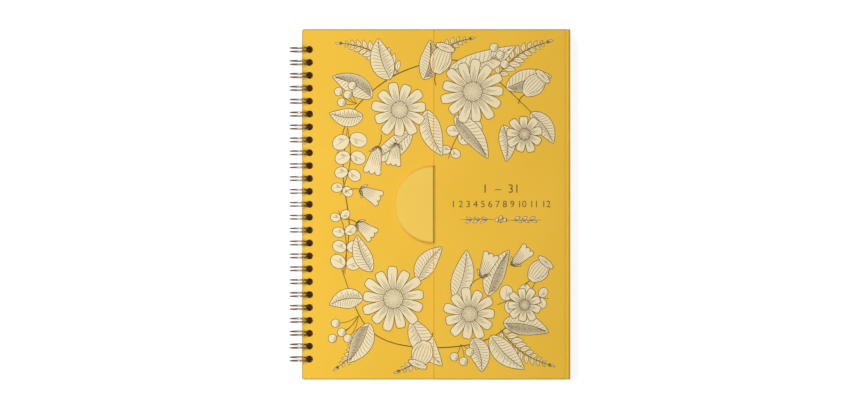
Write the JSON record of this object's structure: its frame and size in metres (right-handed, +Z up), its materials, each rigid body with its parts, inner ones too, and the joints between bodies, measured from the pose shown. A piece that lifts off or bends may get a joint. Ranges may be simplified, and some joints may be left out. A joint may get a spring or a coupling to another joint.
{
  "type": "wire-bound perpetual calendar",
  "caption": "Wire-bound calendar book in hard covers, with a leaf for each month and a wrap-around cover whose flap folds over the fore edge and closes with a half-round tab.",
  "frame": {"origin": "middle of the footprint, on the surface that the book lies on", "axes": "+X from the bound edge to the fore edge, +Y to the head of the book, +Z up through the front cover"},
  "size_m": [0.1845, 0.23, 0.0147],
  "materials": {
    "cover_paper": "matte laminated",
    "grey_board": "raw",
    "lining_paper": "matte",
    "leaf_paper": "uncoated",
    "bronze_wire": "dark bronze coating",
    "magnet": "nickel plated"
  },
  "bodies": {
    "back_cover": {"binding_wire": "bronze_wire", "back_board": "grey_board", "back_paper": "cover_paper", "back_lining": "lining_paper"},
    "fore_edge": {"edge_board": "grey_board", "edge_paper": "cover_paper", "edge_lining": "lining_paper"},
    "flap": {"flap_board": "grey_board", "flap_paper": "cover_paper", "flap_lining": "lining_paper"},
    "tab": {"tab_board": "grey_board", "tab_paper": "cover_paper", "tab_lining": "lining_paper", "tab_magnet": "magnet"},
    "month_leaf_01": {"month_leaf_01": "leaf_paper"},
    "month_leaf_02": {"month_leaf_02": "leaf_paper"},
    "month_leaf_03": {"month_leaf_03": "leaf_paper"},
    "month_leaf_04": {"month_leaf_04": "leaf_paper"},
    "month_leaf_05": {"month_leaf_05": "leaf_paper"},
    "month_leaf_06": {"month_leaf_06": "leaf_paper"},
    "month_leaf_07": {"month_leaf_07": "leaf_paper"},
    "month_leaf_08": {"month_leaf_08": "leaf_paper"},
    "month_leaf_09": {"month_leaf_09": "leaf_paper"},
    "month_leaf_10": {"month_leaf_10": "leaf_paper"},
    "month_leaf_11": {"month_leaf_11": "leaf_paper"},
    "month_leaf_12": {"month_leaf_12": "leaf_paper"},
    "front_cover": {"front_board": "grey_board", "front_paper": "cover_paper", "front_lining": "lining_paper", "front_magnet": "magnet"}
  },
  "joints": [
    {"name": "fore_edge_fold", "type": "hinge", "parent": "back_cover", "child": "fore_edge", "pos_m": [0.09204, 0, 0.0001], "axis": [0, 1, 0], "range_deg": [0, 90]},
    {"name": "flap_fold", "type": "hinge", "parent": "fore_edge", "child": "flap", "pos_m": [0.09221, 0, 0.0119], "axis": [0, 1, 0], "range_deg": [0, 80]},
    {"name": "tab_fold", "type": "hinge", "parent": "flap", "child": "tab", "pos_m": [0.0025, 0, 0.01148], "axis": [0, 1, 0], "range_deg": [0, 35]},
    {"name": "month_leaf_12_turn", "type": "hinge", "parent": "back_cover", "child": "month_leaf_12", "pos_m": [-0.08488, 0, 0.00735], "axis": [0, -1, 0], "range_deg": [0, 180]},
    {"name": "month_leaf_11_turn", "type": "hinge", "parent": "month_leaf_12", "child": "month_leaf_11", "pos_m": [-0.08488, 0, 0.00735], "axis": [0, -1, 0], "range_deg": [0, 180]},
    {"name": "month_leaf_10_turn", "type": "hinge", "parent": "month_leaf_11", "child": "month_leaf_10", "pos_m": [-0.08488, 0, 0.00735], "axis": [0, -1, 0], "range_deg": [0, 180]},
    {"name": "month_leaf_09_turn", "type": "hinge", "parent": "month_leaf_10", "child": "month_leaf_09", "pos_m": [-0.08488, 0, 0.00735], "axis": [0, -1, 0], "range_deg": [0, 180]},
    {"name": "month_leaf_08_turn", "type": "hinge", "parent": "month_leaf_09", "child": "month_leaf_08", "pos_m": [-0.08488, 0, 0.00735], "axis": [0, -1, 0], "range_deg": [0, 180]},
    {"name": "month_leaf_07_turn", "type": "hinge", "parent": "month_leaf_08", "child": "month_leaf_07", "pos_m": [-0.08488, 0, 0.00735], "axis": [0, -1, 0], "range_deg": [0, 180]},
    {"name": "month_leaf_06_turn", "type": "hinge", "parent": "month_leaf_07", "child": "month_leaf_06", "pos_m": [-0.08488, 0, 0.00735], "axis": [0, -1, 0], "range_deg": [0, 180]},
    {"name": "month_leaf_05_turn", "type": "hinge", "parent": "month_leaf_06", "child": "month_leaf_05", "pos_m": [-0.08488, 0, 0.00735], "axis": [0, -1, 0], "range_deg": [0, 180]},
    {"name": "month_leaf_04_turn", "type": "hinge", "parent": "month_leaf_05", "child": "month_leaf_04", "pos_m": [-0.08488, 0, 0.00735], "axis": [0, -1, 0], "range_deg": [0, 180]},
    {"name": "month_leaf_03_turn", "type": "hinge", "parent": "month_leaf_04", "child": "month_leaf_03", "pos_m": [-0.08488, 0, 0.00735], "axis": [0, -1, 0], "range_deg": [0, 180]},
    {"name": "month_leaf_02_turn", "type": "hinge", "parent": "month_leaf_03", "child": "month_leaf_02", "pos_m": [-0.08488, 0, 0.00735], "axis": [0, -1, 0], "range_deg": [0, 180]},
    {"name": "month_leaf_01_turn", "type": "hinge", "parent": "month_leaf_02", "child": "month_leaf_01", "pos_m": [-0.08488, 0, 0.00735], "axis": [0, -1, 0], "range_deg": [0, 180]},
    {"name": "front_cover_turn", "type": "hinge", "parent": "month_leaf_01", "child": "front_cover", "pos_m": [-0.08488, 0, 0.00735], "axis": [0, -1, 0], "range_deg": [0, 180]}
  ]
}
